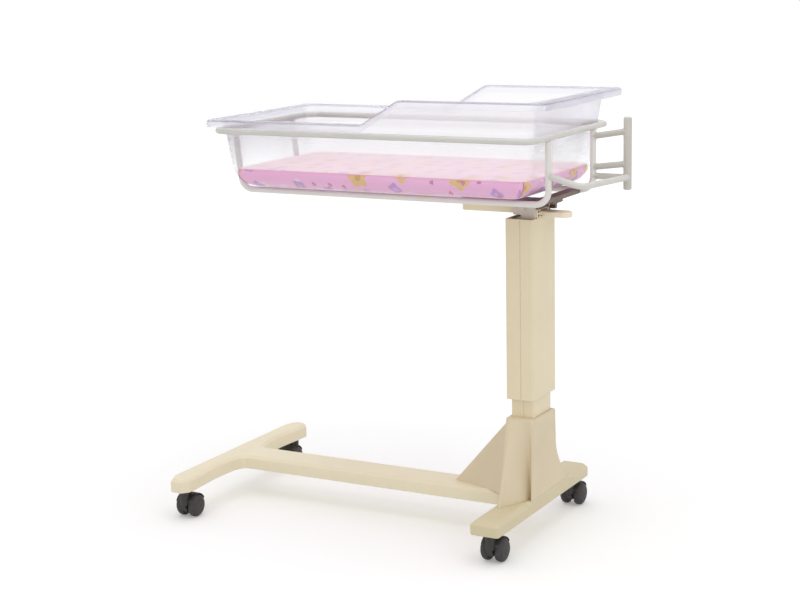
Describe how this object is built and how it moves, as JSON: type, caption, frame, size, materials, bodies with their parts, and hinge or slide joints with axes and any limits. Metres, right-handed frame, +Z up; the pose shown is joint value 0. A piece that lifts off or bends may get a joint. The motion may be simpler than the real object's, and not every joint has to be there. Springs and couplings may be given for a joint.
{
  "type": "hospital bassinet",
  "caption": "Newborn's hospital bassinet: clear stepped basin with mattress in a tube basket, on a height-adjusting column with a C-shaped castered base that rolls under a bed.",
  "frame": {"origin": "on the floor, under the centre of the overall box", "axes": "+Z up, +X along the spine towards the column and handle end, +Y away from the viewer, towards the grip bar's side"},
  "size_m": [0.9216, 0.512, 0.915],
  "materials": {
    "base_paint": "satin cream powder coat",
    "shroud_plastic": "fine-grained cream moulding",
    "frame_paint": "satin off-white powder coat",
    "bracket_paint": "satin warm grey",
    "nylon": "natural",
    "steel": "ground",
    "gas_cylinder_paint": "black",
    "caster_plastic": "fine-grained black",
    "wheel_tread": "black",
    "basin_clear": "clear, faint lavender tint",
    "mattress_cover": "printed coated cloth, pink"
  },
  "bodies": {
    "base": {"right_foot": "base_paint", "left_foot": "base_paint", "spine_beam": "base_paint", "inner_post": "base_paint", "post_top_glide": "nylon", "gas_spring_cylinder": "gas_cylinder_paint", "shroud": "shroud_plastic"},
    "lift": {"outer_sleeve": "base_paint", "sleeve_lower_glide": "nylon", "tilt_bracket": "bracket_paint", "gas_spring_rod": "steel", "tilt_pin": "steel", "lever_housing": "shroud_plastic", "lever_pin": "steel"},
    "lever": {"release_lever": "shroud_plastic"},
    "basket": {"support_channel": "base_paint", "cross_plate": "bracket_paint", "upper_rail": "frame_paint", "front_hoop": "frame_paint", "back_hoop": "frame_paint", "handle_loop": "frame_paint", "handle_back_arm": "frame_paint", "grip_arm_lower": "frame_paint", "grip_arm_upper": "frame_paint", "grip_bar": "frame_paint"},
    "basin": {"basin": "basin_clear"},
    "mattress": {"mattress": "mattress_cover"},
    "caster_front_right": {"hood_front_right": "caster_plastic", "stem_front_right": "steel", "axle_front_right": "steel"},
    "roller_front_right_a": {"wheel_front_right_a": "wheel_tread"},
    "roller_front_right_b": {"wheel_front_right_b": "wheel_tread"},
    "caster_back_right": {"hood_back_right": "caster_plastic", "stem_back_right": "steel", "axle_back_right": "steel"},
    "roller_back_right_a": {"wheel_back_right_a": "wheel_tread"},
    "roller_back_right_b": {"wheel_back_right_b": "wheel_tread"},
    "caster_front_left": {"hood_front_left": "caster_plastic", "stem_front_left": "steel", "axle_front_left": "steel"},
    "roller_front_left_a": {"wheel_front_left_a": "wheel_tread"},
    "roller_front_left_b": {"wheel_front_left_b": "wheel_tread"},
    "caster_back_left": {"hood_back_left": "caster_plastic", "stem_back_left": "steel", "axle_back_left": "steel"},
    "roller_back_left_a": {"wheel_back_left_a": "wheel_tread"},
    "roller_back_left_b": {"wheel_back_left_b": "wheel_tread"}
  },
  "joints": [
    {"name": "column_lift", "type": "slide", "parent": "base", "child": "lift", "axis": [0, 0, 1], "range_m": [-0.035, 0.2]},
    {"name": "basket_tilt", "type": "hinge", "parent": "lift", "child": "basket", "pos_m": [0.28825, 0, 0.691], "axis": [0, 1, 0], "range_deg": [0, 6]},
    {"name": "release_lever_press", "type": "hinge", "parent": "lift", "child": "lever", "pos_m": [0.3095, 0, 0.68055], "axis": [0, 1, 0], "range_deg": [0, 10], "stiffness_Nm_per_rad": 1, "springref_deg": -11.46},
    {"name": "basin_lift_out", "type": "slide", "parent": "basket", "child": "basin", "axis": [0, 0, 1], "range_m": [0, 0.25]},
    {"name": "mattress_lift_out", "type": "slide", "parent": "basin", "child": "mattress", "axis": [0, 0, 1], "range_m": [0, 0.25]},
    {"name": "swivel_front_right", "type": "hinge", "parent": "base", "child": "caster_front_right", "pos_m": [0.28825, -0.201, 0.05], "axis": [0, 0, 1], "continuous": true},
    {"name": "spin_front_right_a", "type": "hinge", "parent": "caster_front_right", "child": "roller_front_right_a", "pos_m": [0.27175, -0.179, 0.02479], "axis": [1, 0, 0], "continuous": true},
    {"name": "spin_front_right_b", "type": "hinge", "parent": "caster_front_right", "child": "roller_front_right_b", "pos_m": [0.30475, -0.179, 0.02479], "axis": [1, 0, 0], "continuous": true},
    {"name": "swivel_back_right", "type": "hinge", "parent": "base", "child": "caster_back_right", "pos_m": [0.28825, 0.201, 0.05], "axis": [0, 0, 1], "continuous": true},
    {"name": "spin_back_right_a", "type": "hinge", "parent": "caster_back_right", "child": "roller_back_right_a", "pos_m": [0.27175, 0.223, 0.02479], "axis": [1, 0, 0], "continuous": true},
    {"name": "spin_back_right_b", "type": "hinge", "parent": "caster_back_right", "child": "roller_back_right_b", "pos_m": [0.30475, 0.223, 0.02479], "axis": [1, 0, 0], "continuous": true},
    {"name": "swivel_front_left", "type": "hinge", "parent": "base", "child": "caster_front_left", "pos_m": [-0.43475, -0.226, 0.05], "axis": [0, 0, 1], "continuous": true},
    {"name": "spin_front_left_a", "type": "hinge", "parent": "caster_front_left", "child": "roller_front_left_a", "pos_m": [-0.45125, -0.204, 0.02479], "axis": [1, 0, 0], "continuous": true},
    {"name": "spin_front_left_b", "type": "hinge", "parent": "caster_front_left", "child": "roller_front_left_b", "pos_m": [-0.41825, -0.204, 0.02479], "axis": [1, 0, 0], "continuous": true},
    {"name": "swivel_back_left", "type": "hinge", "parent": "base", "child": "caster_back_left", "pos_m": [-0.43475, 0.226, 0.05], "axis": [0, 0, 1], "continuous": true},
    {"name": "spin_back_left_a", "type": "hinge", "parent": "caster_back_left", "child": "roller_back_left_a", "pos_m": [-0.45125, 0.204, 0.02479], "axis": [1, 0, 0], "continuous": true},
    {"name": "spin_back_left_b", "type": "hinge", "parent": "caster_back_left", "child": "roller_back_left_b", "pos_m": [-0.41825, 0.204, 0.02479], "axis": [1, 0, 0], "continuous": true}
  ]
}
